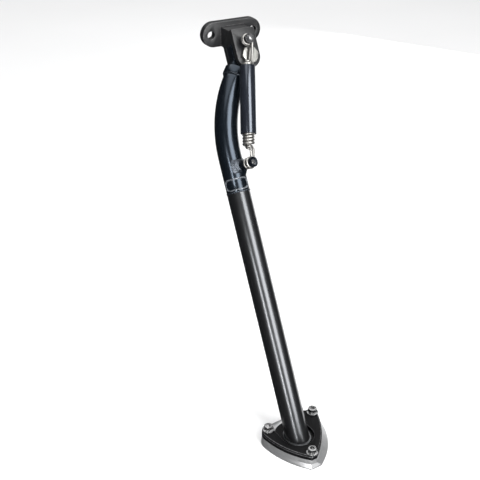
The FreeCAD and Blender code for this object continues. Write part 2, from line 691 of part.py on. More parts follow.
def make_screw_washers():
    return compound("screw_washer_set", [
        ring("screw_washer%d" % index, foot_at(u, v, CLAMP_TOP), "Sizes.screw_washer_dia / 2",
             "Sizes.screw_dia / 2 + Sizes.side_play", "Sizes.screw_washer")
        for index, (u, v) in enumerate(SCREWS, start=1)])


# ---------------------------------------------------------------- assembly
keep(make_bracket(), "frame_bracket")
keep(make_anchor_post(), "bracket_spring_post")
keep(make_pivot_bolt(), "pivot_bolt")
keep(make_pivot_nut(), "pivot_nut")
keep(make_leg_head(), "leg_head")
keep(make_bush(), "pivot_bush")
keep(make_thrust_washers(), "thrust_washers")
keep(make_head_weld(), "head_weld")
keep(make_upper_tube(), "upper_tube")
keep(make_inner_sleeve(), "joint_spigot")
keep(make_joint_weld(), "joint_weld")
keep(make_oval_pad(), "oval_pad")
keep(make_lower_tube(), "lower_tube")
keep(make_spring_post(), "leg_spring_post")
keep(make_post_weld(), "post_weld")
keep(make_gusset(), "post_gusset")
outer_spring, inner_spring = make_springs()
keep(outer_spring, "outer_spring")
keep(inner_spring, "inner_spring")
keep(make_sleeve(), "spring_sleeve")
keep(make_foot_plate(), "foot_plate")
keep(make_foot_weld(), "foot_weld")
keep(make_foot_base(), "foot_base")
keep(make_foot_clamp(), "foot_clamp")
keep(make_foot_screws(), "foot_screws")
keep(make_screw_washers(), "foot_washers")
doc.recompute()

for item in doc.Objects:
    if "Invalid" in item.State or "Error" in item.State:
        raise RuntimeError("%s failed: %s" % (item.Label, item.State))
os.makedirs("parts", exist_ok=True)
for item in PARTS:
    shape = item.Shape
    if shape.isNull() or not shape.isValid() or not shape.Solids:
        raise RuntimeError("%s has no valid solid" % item.Label)
    shape.exportStep("parts/%s.step" % item.Label)
    print("%-20s %2d solids %10.1f mm3" % (item.Label, len(shape.Solids), shape.Volume))
print("pivot", [round(c, 4) for c in PIVOT])
print("upper post", [round(c, 4) for c in LEG.multVec(ANCHOR)])
print("lower hook", [round(c, 4) for c in LEG.multVec(HOOK_MIDDLE)],
      "spring length %.2f" % SPRING_LENGTH)
print("foot centre", [round(c, 4) for c in FOOT.Base])
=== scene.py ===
import json
import math

import bpy
from mathutils import Matrix, Vector


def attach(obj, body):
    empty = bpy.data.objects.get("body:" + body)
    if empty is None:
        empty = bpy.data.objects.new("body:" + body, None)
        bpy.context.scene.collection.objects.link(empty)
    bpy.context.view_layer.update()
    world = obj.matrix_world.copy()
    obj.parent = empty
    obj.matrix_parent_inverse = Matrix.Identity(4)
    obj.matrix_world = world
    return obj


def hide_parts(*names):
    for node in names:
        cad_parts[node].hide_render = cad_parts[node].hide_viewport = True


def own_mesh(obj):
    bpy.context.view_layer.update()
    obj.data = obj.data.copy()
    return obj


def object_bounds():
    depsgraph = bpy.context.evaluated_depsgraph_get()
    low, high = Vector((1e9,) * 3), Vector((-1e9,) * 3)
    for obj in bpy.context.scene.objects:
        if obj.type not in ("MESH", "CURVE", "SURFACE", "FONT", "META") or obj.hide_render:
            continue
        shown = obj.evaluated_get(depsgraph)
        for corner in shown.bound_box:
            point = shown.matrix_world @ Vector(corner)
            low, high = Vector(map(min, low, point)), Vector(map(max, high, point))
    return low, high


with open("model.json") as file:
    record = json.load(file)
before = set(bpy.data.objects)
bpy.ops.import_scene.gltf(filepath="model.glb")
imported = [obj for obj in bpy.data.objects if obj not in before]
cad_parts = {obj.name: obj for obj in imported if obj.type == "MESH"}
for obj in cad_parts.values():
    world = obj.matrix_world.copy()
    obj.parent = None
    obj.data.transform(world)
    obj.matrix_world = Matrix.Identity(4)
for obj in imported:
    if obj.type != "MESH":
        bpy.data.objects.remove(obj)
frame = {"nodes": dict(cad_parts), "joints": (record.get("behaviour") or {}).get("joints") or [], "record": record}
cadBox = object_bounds()
print("side stand: frame loaded,", len(frame["nodes"]), "nodes")

millimetre = 0.001

# where the leg is
foldJoint = [j for j in frame["joints"] if j["name"] == "leg_fold"][0]
pivotPoint = Vector(foldJoint["pos_m"])
legY = -Vector(foldJoint["axis"])  # inwards along the pivot bolt
legX = Vector((1, 0, 0))  # to the rear
legZ = legX.cross(legY)  # up the straight tube
legFrame = Matrix.Translation(pivotPoint) @ Matrix((legX, legY, legZ)).transposed().to_4x4()
rowFrame = Matrix.Identity(4)
near = {"merge": 0.002, "level": 0.02, "face": 0.05, "outline": 0.1}  # mm, for telling alike
smoothBelow = {"cut": 28, "bead": 60, "wire": 50, "pad": 30, "screw": 24}  # degrees


def placeOf(node, within=legFrame):  # lowest and highest corner, seen in another frame
    back = within.inverted()
    points = [back @ v.co for v in frame["nodes"][node].data.vertices]
    low = Vector([min(p[i] for p in points) for i in range(3)])
    high = Vector([max(p[i] for p in points) for i in range(3)])
    return low, high


def middleOf(node, within=legFrame):
    low, high = placeOf(node, within)
    return (low + high) / 2


def frameAlong(direction, origin, hint=Vector((0, 1, 0))):  # a frame whose z runs along direction
    z = Vector(direction).normalized()
    x = hint.cross(z).normalized()
    y = z.cross(x)
    return Matrix.Translation(origin) @ Matrix((x, y, z)).transposed().to_4x4()


# small helpers round the operators
def pickNothing():
    if bpy.context.object and bpy.context.object.mode != "OBJECT":
        bpy.ops.object.mode_set(mode="OBJECT")
    bpy.ops.object.select_all(action="DESELECT")


def pick(*objects):
    pickNothing()
    for o in objects:
        o.select_set(True)
    bpy.context.view_layer.objects.active = objects[0]


def editAll(obj, domain="VERT"):
    pick(obj)
    bpy.ops.object.mode_set(mode="EDIT")
    bpy.ops.mesh.select_mode(type=domain)
    bpy.ops.mesh.select_all(action="SELECT")


def selectFaces(obj, wanted):  # leaves edit mode on, with only the wanted faces selected
    editAll(obj, "FACE")
    bpy.ops.mesh.select_all(action="DESELECT")
    bpy.ops.object.mode_set(mode="OBJECT")
    for face in obj.data.polygons:
        face.select = wanted(face)
    bpy.ops.object.mode_set(mode="EDIT")


def objectMode():
    bpy.ops.object.mode_set(mode="OBJECT")


def addModifier(obj, kind, **settings):
    pick(obj)
    bpy.ops.object.modifier_add(type=kind)
    modifier = obj.modifiers[-1]
    for key, value in settings.items():
        setattr(modifier, key, value)
    bpy.ops.object.modifier_apply(modifier=modifier.name)


def smoothBy(obj, degrees):
    pick(obj)
    bpy.ops.object.shade_smooth_by_angle(angle=math.radians(degrees))


def copyOfNode(node, name):  # a CAD node's mesh as a new piece, its loose triangles joined
    obj = bpy.data.objects.new(name, frame["nodes"][node].data.copy())
    bpy.context.scene.collection.objects.link(obj)
    obj.data.materials.clear()
    editAll(obj)
    bpy.ops.mesh.remove_doubles(threshold=near["merge"] * millimetre)
    bpy.ops.mesh.customdata_custom_splitnormals_clear()
    objectMode()
    return obj


def flattenFacets(obj, degrees=0.4):
    editAll(obj, "EDGE")
    bpy.ops.mesh.dissolve_limited(angle_limit=math.radians(degrees))
    objectMode()


def roundEdges(obj, width, segments=2, sharperThan=32, edgeFinish=-1):
    addModifier(obj, "BEVEL", width=width * millimetre, segments=segments, limit_method="ANGLE",
                angle_limit=math.radians(sharperThan), miter_outer="MITER_ARC",
                use_clamp_overlap=True, material=edgeFinish)


def settle(obj, within):  # a piece made at the origin goes to its place in the row frame
    pick(obj)
    bpy.ops.object.transform_apply(location=True, rotation=True, scale=True)
    obj.data.transform(within)
    obj.data.update()


bodyOfNode = {}
for bodyName, members in frame["record"]["behaviour"]["bodies"].items():
    for member in members:
        bodyOfNode[member] = bodyName
slotOfNode = {s["node"]: s["material_slot"] for s in frame["record"]["subparts"]}


def standFor(obj, *nodes):
    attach(obj, bodyOfNode[nodes[0]])
    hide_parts(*nodes)
    return obj


# finishes
class Signal:  # one output socket, with arithmetic on it
    def __init__(self, finish, socket):
        self.finish = finish
        self.socket = socket

    def out(self, name):
        return Signal(self.finish, self.socket.node.outputs[name])

    def work(self, operation, first, second):
        return self.finish.node("ShaderNodeMath", {"operation": operation}, {0: first, 1: second})

    def __add__(self, other):
        return self.work("ADD", self, other)

    def __radd__(self, other):
        return self.work("ADD", other, self)

    def __rsub__(self, other):
        return self.work("SUBTRACT", other, self)

    def __mul__(self, other):
        return self.work("MULTIPLY", self, other)


class Finish:  # one material and the nodes in it
    def __init__(self, name):
        self.material = bpy.data.materials.new(name)
        self.material.use_nodes = True
        self.tree = self.material.node_tree
        self.tree.nodes.clear()
        self.place = self.node("ShaderNodeTexCoord", {}, {}).out("Object")

    def node(self, kind, settings, sockets, output=0):
        made = self.tree.nodes.new(kind)
        for key, value in settings.items():
            setattr(made, key, value)
        for key, value in sockets.items():
            if isinstance(value, Signal):
                self.tree.links.new(value.socket, made.inputs[key])
            else:
                made.inputs[key].default_value = value
        return Signal(self, made.outputs[output])

    def noise(self, perMetre, detail=2.0, rough=0.5, at=None):
        return self.node("ShaderNodeTexNoise", {},
                         {"Vector": at or self.place, "Scale": perMetre, "Detail": detail,
                          "Roughness": rough})

    def stretched(self, scale, turn=(0, 0, 0)):
        return self.node("ShaderNodeMapping", {},
                         {"Vector": self.place, "Rotation": turn, "Scale": scale})

    def steps(self, value, low, high):  # 0 below low, 1 above high, soft between
        return self.node("ShaderNodeMapRange", {"interpolation_type": "SMOOTHSTEP"},
                         {"Value": value, "From Min": low, "From Max": high})

    def between(self, share, first, second):  # a mix of two colours
        four = [(*c, 1) if isinstance(c, tuple) else c for c in (first, second)]
        return self.node("ShaderNodeMix", {"data_type": "RGBA"},
                         {0: share, 6: four[0], 7: four[1]}, output=2)

    def bump(self, height, strength, distance):
        return self.node("ShaderNodeBump", {}, {"Height": height, "Strength": strength,
                                                "Distance": distance * millimetre})

    def surface(self, **sockets):
        named = {key.replace("_", " "): value for key, value in sockets.items()}
        for key, value in named.items():
            if isinstance(value, tuple) and len(value) == 3:
                named[key] = (*value, 1)
        shader = self.node("ShaderNodeBsdfPrincipled", {}, named)
        end = self.tree.nodes.new("ShaderNodeOutputMaterial")
        self.tree.links.new(shader.socket, end.inputs["Surface"])
        return self.material


# blue-black gloss coat of the bent tube, the collar and the lower post
glossCoat = {"deep": (0.0012, 0.002, 0.003), "lift": (0.003, 0.0046, 0.007),
             "dust": (0.05, 0.055, 0.062), "rough": 0.19, "tint": (0.7, 0.83, 1.0)}


def makeGlossBlack():
    f = Finish("gloss blue-black coat")
    cloud = f.noise(55, 3)
    orange = f.noise(900, 2)
    dust = f.steps(f.noise(2600, 2), 0.63, 0.72)
    colour = f.between(cloud, glossCoat["deep"], glossCoat["lift"])
    colour = f.between(dust * 0.35, colour, glossCoat["dust"])
    rough = glossCoat["rough"] + cloud * 0.08 + dust * 0.12
    return f.surface(Base_Color=colour, Roughness=rough, Metallic=0.0, IOR=1.55,
                     Specular_Tint=glossCoat["tint"], Normal=f.bump(orange, 0.12, 0.05))


# neutral satin coat of the straight tube
satinCoat = {"deep": (0.003, 0.003, 0.0032), "lift": (0.0055, 0.0055, 0.006),
             "pore": (0.03, 0.03, 0.031), "rough": 0.25, "tint": (0.93, 0.96, 1.0)}


def makeSatinBlack():
    f = Finish("satin black powder coat")
    cloud = f.noise(38, 3)
    grain = f.noise(1500, 2)
    pores = f.steps(f.noise(3300, 2), 0.62, 0.78)
    colour = f.between(cloud, satinCoat["deep"], satinCoat["lift"])
    colour = f.between(pores * 0.2, colour, satinCoat["pore"])
    rough = satinCoat["rough"] + cloud * 0.08 + pores * 0.06
    return f.surface(Base_Color=colour, Roughness=rough, Metallic=0.0, IOR=1.8,
                     Coat_Weight=0.15, Coat_Roughness=0.12, Specular_Tint=satinCoat["tint"],
                     Normal=f.bump(grain, 0.1, 0.05))


# the foot's disc, dull from the stamping
plateCoat = {"deep": (0.003, 0.003, 0.0032), "lift": (0.006, 0.006, 0.0064), "rough": 0.5}


def makePlateBlack():
    f = Finish("dull plate coat")
    cloud = f.noise(80, 3)
    colour = f.between(cloud, plateCoat["deep"], plateCoat["lift"])
    rough = plateCoat["rough"] + cloud * 0.12
    return f.surface(Base_Color=colour, Roughness=rough, Metallic=0.0, IOR=1.25,
                     Normal=f.bump(f.noise(1400, 2), 0.2, 0.05))


# coat over a weld, with lighter bluish spots painted on as highlight, standing in for the weld's glints
weldSkin = {"deep": (0.003, 0.0045, 0.0065), "paintedGlint": (0.035, 0.04, 0.048), "rough": 0.24,
            "tint": (0.8, 0.88, 1.0)}


def makeWeldCoat():
    f = Finish("coat over weld")
    # lighter, more metallic spots at random: painted highlight for the weld's glints
    paintedGlint = f.steps(f.noise(420, 3, 0.6), 0.42, 0.66)
    colour = f.between(paintedGlint, weldSkin["deep"], weldSkin["paintedGlint"])
    return f.surface(Base_Color=colour, Roughness=weldSkin["rough"] + paintedGlint * 0.14,
                     Metallic=paintedGlint * 0.5, IOR=1.7, Specular_Tint=weldSkin["tint"],
                     Normal=f.bump(f.noise(1100, 3), 0.3, 0.08))


# rough satin coat of the forged bracket
bracketCoat = {"deep": (0.005, 0.0053, 0.006), "lift": (0.011, 0.0115, 0.0125), "rough": 0.36}


def makeBracketBlack():
    f = Finish("bracket black")
    cloud = f.noise(60, 3)
    skin = f.noise(700, 4, 0.6)
    colour = f.between(cloud, bracketCoat["deep"], bracketCoat["lift"])
    return f.surface(Base_Color=colour, Roughness=bracketCoat["rough"] + cloud * 0.14, Metallic=0.0,
                     Normal=f.bump(skin, 0.3, 0.12))


# the spring's sleeve, with faint lines along it
sleeveSkin = {"deep": (0.006, 0.007, 0.010), "lift": (0.012, 0.014, 0.019), "rough": 0.15,
              "tint": (0.8, 0.88, 1.0)}


def makeSleeveBlack():
    f = Finish("gloss sleeve")
    lines = f.noise(1, 2, at=f.stretched((1900, 1900, 24)))
    cloud = f.noise(70, 2)
    colour = f.between(cloud, sleeveSkin["deep"], sleeveSkin["lift"])
    rough = sleeveSkin["rough"] + lines * 0.1
    return f.surface(Base_Color=colour, Roughness=rough, Metallic=0.0, IOR=1.7,
                     Coat_Weight=0.12, Coat_Roughness=0.08, Specular_Tint=sleeveSkin["tint"],
                     Normal=f.bump(lines, 0.1, 0.04))


wireTone = {"dark": (0.3, 0.295, 0.28), "light": (0.46, 0.45, 0.43),
            "dull": (0.16, 0.155, 0.15), "rough": 0.34}


def makeSpringWire():
    f = Finish("bright spring wire")
    spots = f.noise(900, 3, 0.6)
    drawn = f.noise(3800, 2)
    dull = f.steps(f.noise(160, 3), 0.5, 0.7)
    colour = f.between(spots, wireTone["dark"], wireTone["light"])
    colour = f.between(dull * 0.5, colour, wireTone["dull"])
    rough = wireTone["rough"] + spots * 0.12 + dull * 0.14
    return f.surface(Base_Color=colour, Roughness=rough, Metallic=1.0,
                     Normal=f.bump(drawn, 0.12, 0.03))


zincTone = {"dark": (0.24, 0.24, 0.235), "light": (0.4, 0.4, 0.39),
            "yellowed": (0.34, 0.33, 0.26), "rough": 0.3}


def makeZincSteel():
    f = Finish("zinc plate")
    spots = f.noise(520, 3, 0.6)
    hue = f.noise(120, 2)
    colour = f.between(spots, zincTone["dark"], zincTone["light"])
    colour = f.between(hue * 0.35, colour, zincTone["yellowed"])
    return f.surface(Base_Color=colour, Roughness=zincTone["rough"] + spots * 0.16, Metallic=1.0,
                     Normal=f.bump(f.noise(1700, 2), 0.14, 0.04))


steelTone = {"dark": (0.17, 0.17, 0.172), "light": (0.42, 0.42, 0.42), "rough": 0.2}


def makeBrightSteel():
    f = Finish("bright stainless steel")
    spots = f.noise(700, 3, 0.6)
    turned = f.noise(2600, 2)
    colour = f.between(spots, steelTone["dark"], steelTone["light"])
    return f.surface(Base_Color=colour, Roughness=steelTone["rough"] + spots * 0.14, Metallic=1.0,
                     Normal=f.bump(turned, 0.1, 0.03))


bronzeTone = {"face": (0.62, 0.43, 0.2), "pore": (0.34, 0.22, 0.1), "rough": 0.34}


def makeBushBronze():
    f = Finish("bush bronze")
    pores = f.steps(f.noise(2400, 2), 0.5, 0.64)
    colour = f.between(pores, bronzeTone["face"], bronzeTone["pore"])
    return f.surface(Base_Color=colour, Roughness=bronzeTone["rough"] + pores * 0.2, Metallic=1.0,
                     Normal=f.bump(1 - pores, 0.2, 0.04))


# the foot's base; the cutter's marks run along the foot
aluminiumTone = {"dark": (0.3, 0.302, 0.306), "light": (0.52, 0.522, 0.528),
                 "smear": (0.26, 0.26, 0.26), "rough": 0.26, "metal": 0.75,
                 "marks": (160, 5200, 5200), "marksTurn": 32}


def makeBareAluminium():
    f = Finish("machined aluminium")
    turn = (0, 0, math.radians(aluminiumTone["marksTurn"]))
    marks = f.noise(1, 3, 0.6, at=f.stretched(aluminiumTone["marks"], turn))
    smear = f.steps(f.noise(110, 3), 0.46, 0.72)
    colour = f.between(marks, aluminiumTone["dark"], aluminiumTone["light"])
    colour = f.between(smear * 0.3, colour, aluminiumTone["smear"])
    rough = aluminiumTone["rough"] + marks * 0.16 + smear * 0.1
    return f.surface(Base_Color=colour, Roughness=rough, Metallic=aluminiumTone["metal"],
                     Normal=f.bump(marks, 0.3, 0.06))


anodisedSkin = {"deep": (0.002, 0.002, 0.0022), "lift": (0.004, 0.004, 0.0045), "rough": 0.5}


def makeAnodisedBlack():
    f = Finish("matt anodised black")
    blast = f.noise(2800, 2)
    cloud = f.noise(90, 3)
    colour = f.between(cloud, anodisedSkin["deep"], anodisedSkin["lift"])
    return f.surface(Base_Color=colour, Roughness=anodisedSkin["rough"] + cloud * 0.1,
                     Metallic=0.0, IOR=1.2, Normal=f.bump(blast, 0.3, 0.05))


wearAndHighlightTones = {  # edge wear on the bracket and the clamp, worn through to metal; on the pad rim and in the post's dish the bright tone is painted highlight. Each: the coat's tone, the bright tone, how far the bright spots spread
    "rubbed bracket edge": ((0.012, 0.012, 0.013), (0.1, 0.1, 0.1), 0.08),
    "rubbed clamp edge": ((0.006, 0.006, 0.0065), (0.1, 0.1, 0.105), 0.1),
    # pad rim: the bright spots are painted highlight on the rim
    "pad rim painted highlight": ((0.012, 0.015, 0.019), (0.3, 0.32, 0.35), 0.1),
    # post's dish: the bright spots are painted highlight, the glint in the dish
    "post dish painted highlight": ((0.01, 0.011, 0.013), (0.55, 0.55, 0.55), 0.02)}


def makeWornAndHighlitEdge(name, dark, brightTone, spread):
    f = Finish(name)
    # bright spots: worn metal on the bracket and clamp edges, painted highlight on the pad rim and in the post's
    # dish
    brightSpots = f.steps(f.noise(380, 4, 0.62), 0.5 - spread, 0.72 - spread)
    colour = f.between(brightSpots, dark, brightTone)
    return f.surface(Base_Color=colour, Roughness=0.34 + f.noise(900, 2) * 0.16,
                     Metallic=brightSpots * 0.8, Normal=f.bump(f.noise(1800, 2), 0.15, 0.04))


# edge finishes: real wear for the bracket and clamp, painted highlight for the pad rim and the post's dish
rubbed = {name: makeWornAndHighlitEdge(name, *tones) for name, tones in wearAndHighlightTones.items()}
plateBlack = makePlateBlack()
weldCoat = makeWeldCoat()
finishes = {
    "bracket_black": makeBracketBlack(), "gloss_black": makeGlossBlack(),
    "satin_black": makeSatinBlack(), "sleeve_black": makeSleeveBlack(),
    "spring_wire": makeSpringWire(), "zinc_steel": makeZincSteel(),
    "bright_steel": makeBrightSteel(), "bush_bronze": makeBushBronze(),
    "bare_aluminium": makeBareAluminium(), "anodised_black": makeAnodisedBlack()}
print("finishes:", len(finishes))


def paint(obj, slot):
    obj.data.materials.clear()
    obj.data.materials.append(finishes[slot])
    return obj


for nodeName, nodeObject in frame["nodes"].items():
    paint(nodeObject, slotOfNode[nodeName])

# pieces that only need their edges broken
brokenEdges = {  # node: new name, edge radius in mm, segments
    "frame_bracket": ("bracketForging", 1.1, 3), "bracket_spring_post": ("upperPost", 0.5, 2),
    "leg_head": ("headForging", 0.9, 3), "upper_tube": ("bentTube", 0.3, 2),
    "lower_tube": ("straightTube", 0.6, 2), "leg_spring_post": ("lowerPost", 0.55, 3),
    "post_gusset": ("postRib", 0.5, 2), "spring_sleeve": ("springSleeve", 0.45, 3),
    "foot_plate": ("footDisc", 0.5, 2), "foot_base": ("footBase", 0.45, 2),
    "foot_clamp": ("footClamp", 0.55, 2), "foot_washers": ("footWashers", 0.22, 2),
    "pivot_bolt": ("pivotBolt", 0.35, 2), "pivot_nut": ("pivotNut", 0.35, 2),
    "thrust_washers": ("thrustWashers", 0.15, 2)}
edgeFinishes = {"frame_bracket": rubbed["rubbed bracket edge"],
                "foot_clamp": rubbed["rubbed clamp edge"]}
clampChamfer = {"width": 1.4}
postDish = {  # mm: border, slope, depth
    "leg_spring_post": (1.6, 0.6, 0.7), "bracket_spring_post": (1.3, 0.6, 0.7)}


def onOutline(points, directions=180):  # which points lie on the outline seen from above
    found = set()
    for step in range(directions):
        angle = 2 * math.pi * step / directions
        reaches = [p.x * math.cos(angle) + p.y * math.sin(angle) for p in points]
        most = max(reaches) - near["outline"] * millimetre
        found.update(i for i, reach in enumerate(reaches) if reach >= most)
    return found


def chamferClamp(clamp):  # the slanted band round the clamp's top
    top = max(v.co.z for v in clamp.data.vertices) - near["level"] * millimetre
    level = [v.index for v in clamp.data.vertices if v.co.z > top]
    outline = onOutline([clamp.data.vertices[i].co for i in level])
    rim = {level[i] for i in outline}
    editAll(clamp, "EDGE")
    bpy.ops.mesh.select_all(action="DESELECT")
    objectMode()
    sides = {}
    for face in clamp.data.polygons:
        for key in face.edge_keys:
            sides.setdefault(key, []).append(face.normal.z)
    for edge in clamp.data.edges:
        steep = min(abs(z) for z in sides[edge.key])
        edge.select = set(edge.vertices) <= rim and steep < 0.5
    bpy.ops.object.mode_set(mode="EDIT")
    bpy.ops.mesh.bevel(offset=clampChamfer["width"] * millimetre, offset_type="OFFSET",
                       segments=1, affect="EDGES", clamp_overlap=False)
    objectMode()


def dishHead(post, out, border, slope, depth):  # a shallow dish in the post's end face
    ends = [f for f in post.data.polygons if f.normal.dot(out) > 0.99]
    furthest = max(f.center.dot(out) for f in ends)
    selectFaces(post, lambda face: face.normal.dot(out) > 0.99
                and face.center.dot(out) > furthest - near["face"] * millimetre)
    bpy.ops.mesh.inset(thickness=border * millimetre, depth=0)
    bpy.ops.mesh.inset(thickness=slope * millimetre, depth=-depth * millimetre)
    objectMode()
    # the dish floor gets bright spots painted as the glint in the dish
    post.data.materials.append(rubbed["post dish painted highlight"])
    for face in post.data.polygons:
        sunk = (furthest - face.center.dot(out)) / (depth * millimetre)
        face.material_index = int(face.normal.dot(out) > 0.99 and 0.9 < sunk < 1.1)


hexChamfer = {"corner": 0.985, "width": 1.0}


def chamferHexagon(piece, node, axis):  # the corners of a bolt's head or a nut turned off
    low, high = placeOf(node)
    length, across = high.y - low.y, high.x - low.x
    pickNothing()
    bpy.ops.mesh.primitive_cylinder_add(vertices=96, radius=across / 2 * hexChamfer["corner"],
                                        depth=length)
    tool = bpy.context.object
    selectFaces(tool, lambda face: abs(face.normal.z) > 0.9)
    bpy.ops.mesh.bevel(offset=hexChamfer["width"] * millimetre, segments=1, affect="EDGES")
    objectMode()
    settle(tool, frameAlong(axis, legFrame @ middleOf(node), hint=legX))
    addModifier(piece, "BOOLEAN", object=tool, operation="INTERSECT", solver="EXACT")
    bpy.data.objects.remove(tool)


neckTurn, postTurn = math.radians(38), math.radians(20)
neckWay = legFrame.to_3x3() @ Vector((-math.sin(neckTurn), 0, -math.cos(neckTurn)))
postWay = legFrame.to_3x3() @ Vector((math.sin(postTurn), -math.cos(postTurn), 0))
for nodeName, (newName, radius, segments) in brokenEdges.items():
    piece = copyOfNode(nodeName, newName)
    flattenFacets(piece)
    if nodeName == "foot_clamp":
        chamferClamp(piece)
    if nodeName in ("pivot_bolt", "pivot_nut"):
        chamferHexagon(piece, nodeName, legY)
    paint(piece, slotOfNode[nodeName])
    if nodeName == "foot_plate":
        piece.data.materials[0] = plateBlack
    if nodeName in postDish:
        dishHead(piece, postWay if nodeName == "leg_spring_post" else -legY, *postDish[nodeName])
    if nodeName in edgeFinishes:
        piece.data.materials.append(edgeFinishes[nodeName])
    roundEdges(piece, radius, segments, edgeFinish=1 if nodeName in edgeFinishes else -1)
    smoothBy(piece, smoothBelow["cut"])
    standFor(piece, nodeName)
print("edges broken on", len(brokenEdges), "pieces")

# weld beads
beadRipple = {"voxel": 0.4, "depth": 0.26, "pitch": 2.1, "curl": 1.6}


def rippleBead(node, name, axis):
    piece = copyOfNode(node, name)
    addModifier(piece, "REMESH", mode="VOXEL", voxel_size=beadRipple["voxel"] * millimetre)
    low, high = placeOf(node, rowFrame)
    centre = (low + high) / 2
    around = frameAlong(axis, centre).inverted()
    points = [around @ v.co for v in piece.data.vertices]
    radius = sum(math.hypot(p.x, p.y) for p in points) / len(points)
    beads = round(2 * math.pi * radius / (beadRipple["pitch"] * millimetre))
    shifts = []
    for vertex, p in zip(piece.data.vertices, points):
        angle = math.atan2(p.y, p.x)
        off = math.hypot(p.x, p.y) - radius
        curl = beadRipple["curl"] * ((p.z / 2) ** 2 + off ** 2) / millimetre ** 2
        wave = abs(math.sin((angle * beads + curl) / 2))
        shifts.append(vertex.normal * (wave - 1) * beadRipple["depth"] * millimetre)
    for vertex, shift in zip(piece.data.vertices, shifts):
        vertex.co += shift
    piece.data.update()
    smoothBy(piece, smoothBelow["bead"])
    paint(piece, slotOfNode[node])
    # gloss welds get the coat with painted highlight spots
    if slotOfNode[node] == "gloss_black":
        piece.data.materials[0] = weldCoat
    return standFor(piece, node)


rippleBead("head_weld", "headWeldBead", neckWay)
rippleBead("joint_weld", "jointWeldBead", legZ)
rippleBead("post_weld", "postWeldBead", postWay)
rippleBead("foot_weld", "footWeldBead", Vector((0, 0, 1)))
print("weld beads made")

# springs, one wound inside the other
swingJoint = [j for j in frame["joints"] if j["name"] == "spring_swing"][0]
upperHook = legFrame.inverted() @ Vector(swingJoint["pos_m"])
tubeMiddle = middleOf("lower_tube")
postMiddle = middleOf("leg_spring_post")
postRoot = Vector((tubeMiddle.x, tubeMiddle.y, postMiddle.z))
postOut = Vector((math.sin(postTurn), -math.cos(postTurn), 0))
winding = {"grooveRadius": 3.75, "pointsPerTurn": 24, "hookTurn": 292, "hookSteps": 22,
           "pitch": 1.13, "lengthAtFold": 0.948, "hookOut": 25.1,  # pitch in wire widths
           "leadIn": (0.3, 0.6, 0.85), "leadOut": (0.15, 0.4, 0.7)}
springSizes = {  # mm: wire, coil, where the coil starts and stops, each hook's place along its post
    "outer_spring": ("outerSpring", 2.8, 13.4, 24.0, 17.0, -1.8, 27.2),
    "inner_spring": ("innerSpring", 2.3, 7.4, 21.2, 14.2, 1.55, 22.75)}
lowerHook = postRoot + postOut * winding["hookOut"] * millimetre
springDown = (lowerHook - upperHook).normalized()
springLength = (lowerHook - upperHook).length
springBack = springDown.cross(Vector((0, 1, 0))).normalized()
if springBack.x < 0:
    springBack = -springBack
springSide = springDown.cross(springBack)


def woundWire(name, points, wire):
    pickNothing()
    bpy.ops.curve.primitive_nurbs_path_add()
    path = bpy.context.object
    path.name = name
    curve = path.data
    curve.splines.clear()
    spline = curve.splines.new("NURBS")
    spline.points.add(len(points) - 1)
    for knot, point in zip(spline.points, points):
        knot.co = (*point, 1)
    spline.order_u = 4
    spline.use_endpoint_u = True
    spline.resolution_u = 1
    curve.resolution_u = 1
    curve.bevel_depth = wire / 2
    curve.bevel_resolution = 3
    curve.use_fill_caps = True
    pick(path)
    bpy.ops.object.convert(target="MESH")
    return bpy.context.object


for nodeName, (newName, wire, coil, start, stop, up, low) in springSizes.items():
    wire, mean = wire * millimetre, (coil - wire) / 2 * millimetre
    start = start * millimetre + wire / 2
    stop = springLength - stop * millimetre - wire / 2
    turns = round((stop - start) / (wire * winding["pitch"]))
    ringRadius = winding["grooveRadius"] * millimetre + wire / 2
    upperEye = upperHook + Vector((0, up * millimetre, 0))
    lowerEye = postRoot + postOut * low * millimetre
    points = []
    hookSteps = winding["hookSteps"]
    for step in range(hookSteps + 1):
        angle = math.radians(winding["hookTurn"]) * (1 - step / hookSteps)
        points.append(upperEye + (springBack * math.cos(angle)
                                  - springDown * math.sin(angle)) * ringRadius)
    coilTop = upperHook + springDown * start + springBack * mean
    first = points[-1]
    for share in winding["leadIn"]:
        points.append(first.lerp(coilTop, share))
    perTurn = winding["pointsPerTurn"]
    for step in range(2, turns * perTurn - 1):
        angle = 2 * math.pi * step / perTurn
        along = start + (stop - start) * step / (turns * perTurn)
        points.append(upperHook + springDown * along
                      + (springBack * math.cos(angle) + springSide * math.sin(angle)) * mean)
    side = (springBack - postOut * springBack.dot(postOut)).normalized()
    under = postOut.cross(side)
    if under.dot(springDown) < 0:
        under = -under
    coilEnd = upperHook + springDown * stop + springBack * mean
    last = lowerEye + side * ringRadius
    for share in winding["leadOut"]:
        points.append(coilEnd.lerp(last, share))
    for step in range(hookSteps + 1):
        angle = math.radians(winding["hookTurn"]) * step / hookSteps
        points.append(lowerEye + (side * math.cos(angle) + under * math.sin(angle)) * ringRadius)
    piece = woundWire(newName, points, wire)
    settle(piece, legFrame)
    smoothBy(piece, smoothBelow["wire"])
    paint(piece, "spring_wire")
    standFor(piece, nodeName)
    legFrame.to_3x3() @ springDown
    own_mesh(piece)
    print(newName, turns, "turns")

